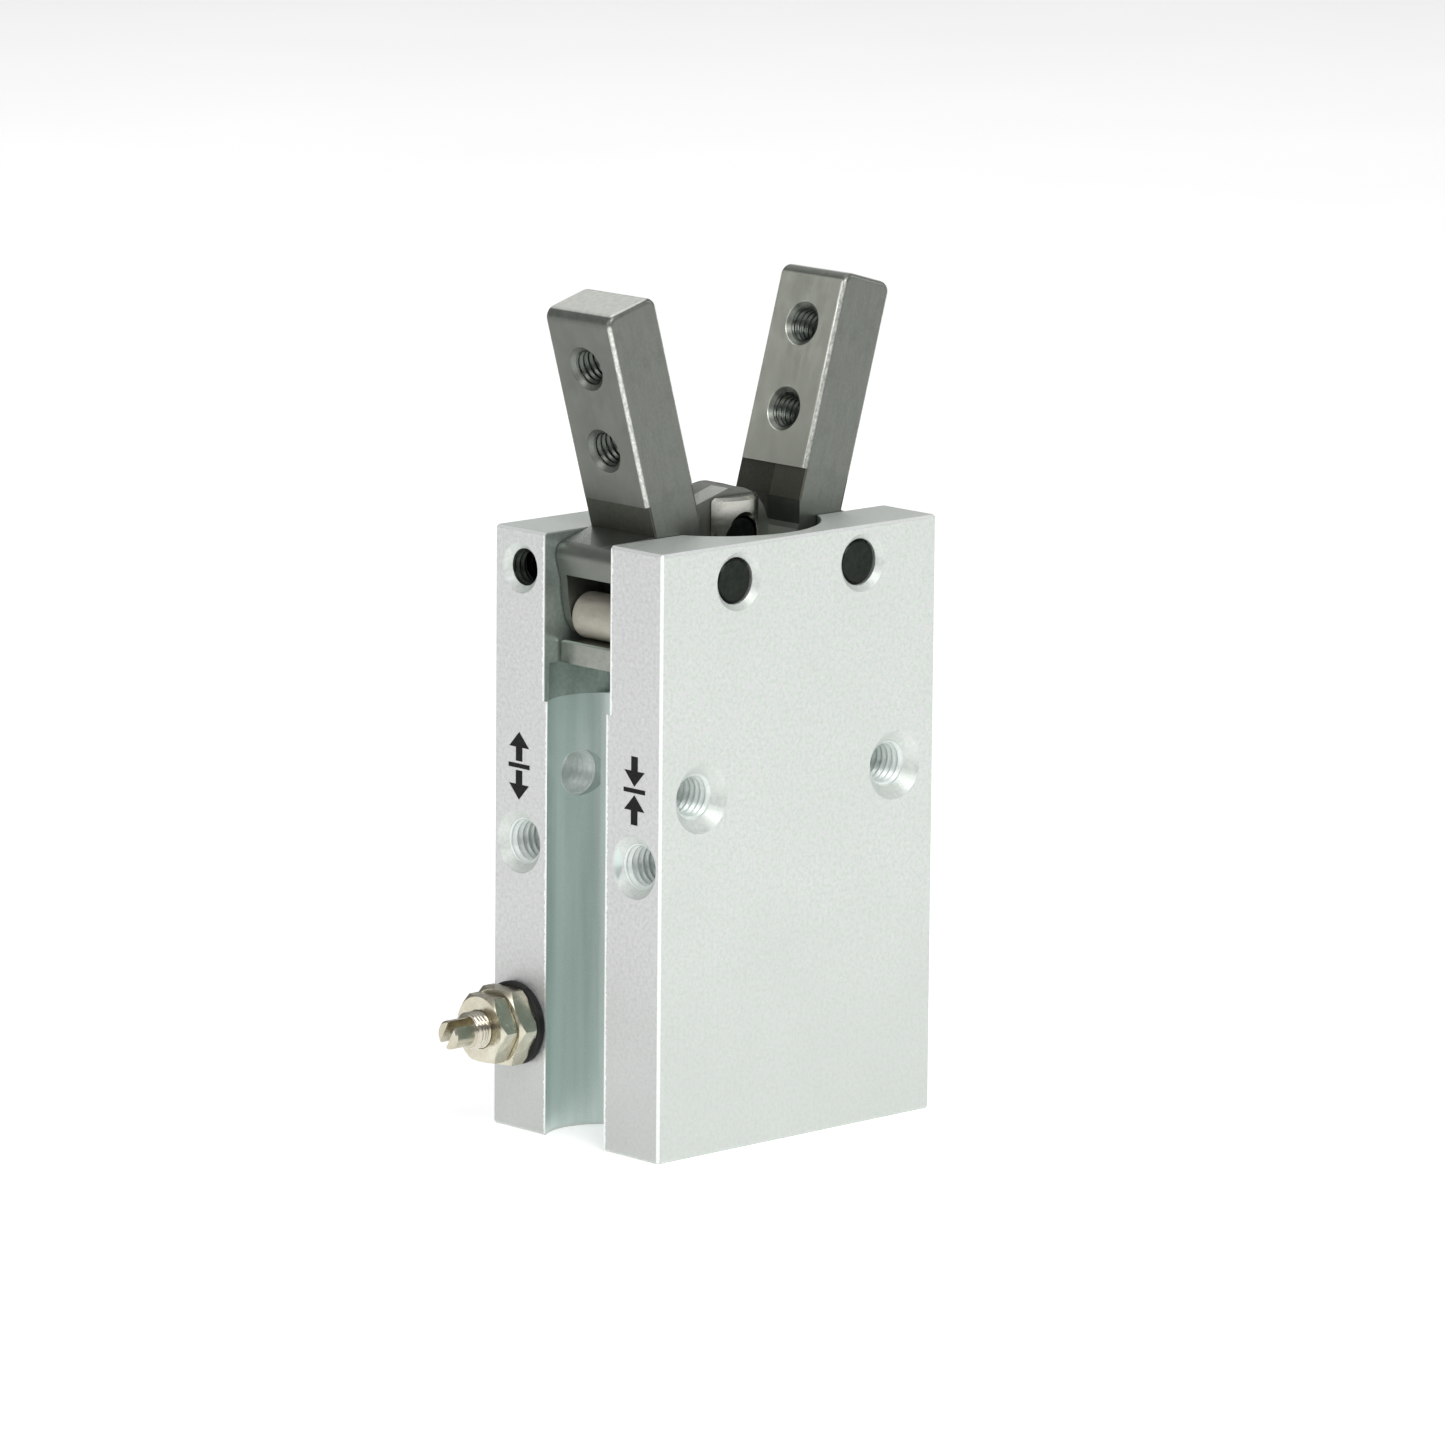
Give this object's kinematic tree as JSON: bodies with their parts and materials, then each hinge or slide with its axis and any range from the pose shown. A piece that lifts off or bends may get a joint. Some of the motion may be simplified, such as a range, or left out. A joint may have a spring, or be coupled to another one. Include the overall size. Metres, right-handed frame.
{
  "type": "angular pneumatic gripper",
  "caption": "Double-acting pneumatic gripper with an undercut aluminium body, hinged steel fingers, threaded air ports, and an adjustable needle valve.",
  "frame": {"origin": "centre of the locating bore in the body's bottom face", "axes": "+Z from the base towards the fingers, +X along the wide face away from the ports, -Y out of the front wide face"},
  "size_m": [0.0503, 0.0267, 0.0905],
  "materials": {
    "anodised_body": "fine bead-blasted clear anodised",
    "clear_aluminium": "turned, clear anodised",
    "spring_steel": "blued spring steel",
    "black_rubber": "moulded, matt",
    "bright_steel": "polished",
    "magnet": "bonded magnet",
    "guide_plastic": "filled guide strip",
    "stainless": "turned stainless",
    "dark_steel": "black oxide",
    "ground_steel": "ground",
    "finger_steel": "hardened, satin ground",
    "roller_steel": "ground bearing steel",
    "nickel_brass": "nickel-plated brass"
  },
  "bodies": {
    "body": {"body": "anodised_body", "retaining_ring": "spring_steel", "end_cap": "clear_aluminium", "end_cap_o_ring": "black_rubber", "bottom_bumper": "black_rubber", "passage_plug": "bright_steel", "rod_cover": "clear_aluminium", "rod_cover_o_ring": "black_rubber", "rod_seal": "black_rubber", "rod_cover_ring": "spring_steel", "top_bumper": "black_rubber", "stop_plate": "ground_steel", "stop_plate_screws": "dark_steel", "fulcrum_pin_left": "dark_steel", "fulcrum_pin_right": "dark_steel", "pin_lock_screws": "dark_steel", "needle_gasket": "black_rubber", "needle_seat_body": "nickel_brass", "needle_lock_nut": "nickel_brass"},
    "piston_group": {"piston_rod": "stainless", "piston": "clear_aluminium", "piston_seal": "black_rubber", "piston_magnet": "magnet", "magnet_carrier": "clear_aluminium", "wear_ring": "guide_plastic", "piston_nut": "bright_steel", "joint": "stainless", "joint_pin": "dark_steel"},
    "finger_left_body": {"finger_left": "finger_steel", "roller_pin_left": "dark_steel"},
    "finger_right_body": {"finger_right": "finger_steel", "roller_pin_right": "dark_steel"},
    "roller_left_body": {"stop_roller_left": "roller_steel"},
    "roller_right_body": {"stop_roller_right": "roller_steel"},
    "needle_slide_body": {"needle_o_ring": "black_rubber"},
    "needle_body": {"needle_screw": "nickel_brass"}
  },
  "joints": [
    {"name": "finger_left_hinge", "type": "hinge", "parent": "body", "child": "finger_left_body", "pos_m": [-0.009, 0, 0.061], "axis": [0, 1, 0], "range_deg": [0, 21]},
    {"name": "finger_right_hinge", "type": "hinge", "parent": "body", "child": "finger_right_body", "pos_m": [0.009, 0, 0.061], "axis": [0, -1, 0], "range_deg": [0, 21]},
    {"name": "piston_slide", "type": "slide", "parent": "body", "child": "piston_group", "axis": [0, 0, -1], "range_m": [0, 0.00338]},
    {"name": "roller_left_spin", "type": "hinge", "parent": "finger_left_body", "child": "roller_left_body", "pos_m": [-0.01494, 0, 0.05597], "axis": [0, 1, 0], "continuous": true},
    {"name": "roller_right_spin", "type": "hinge", "parent": "finger_right_body", "child": "roller_right_body", "pos_m": [0.01494, 0, 0.05597], "axis": [0, 1, 0], "continuous": true},
    {"name": "needle_advance", "type": "slide", "parent": "body", "child": "needle_slide_body", "axis": [1, 0, 0], "range_m": [0, 0.001]},
    {"name": "needle_turn", "type": "hinge", "parent": "needle_slide_body", "child": "needle_body", "pos_m": [-0.02, 0.0091, 0.0117], "axis": [1, 0, 0], "range_deg": [0, 720]}
  ],
  "couplings": [
    {"joint": "finger_right_hinge", "follows": "finger_left_hinge", "ratio": 1},
    {"joint": "piston_slide", "follows": "finger_left_hinge", "m_per_rad": 0.0091894},
    {"joint": "needle_turn", "follows": "needle_advance", "rad_per_m": 12566}
  ]
}
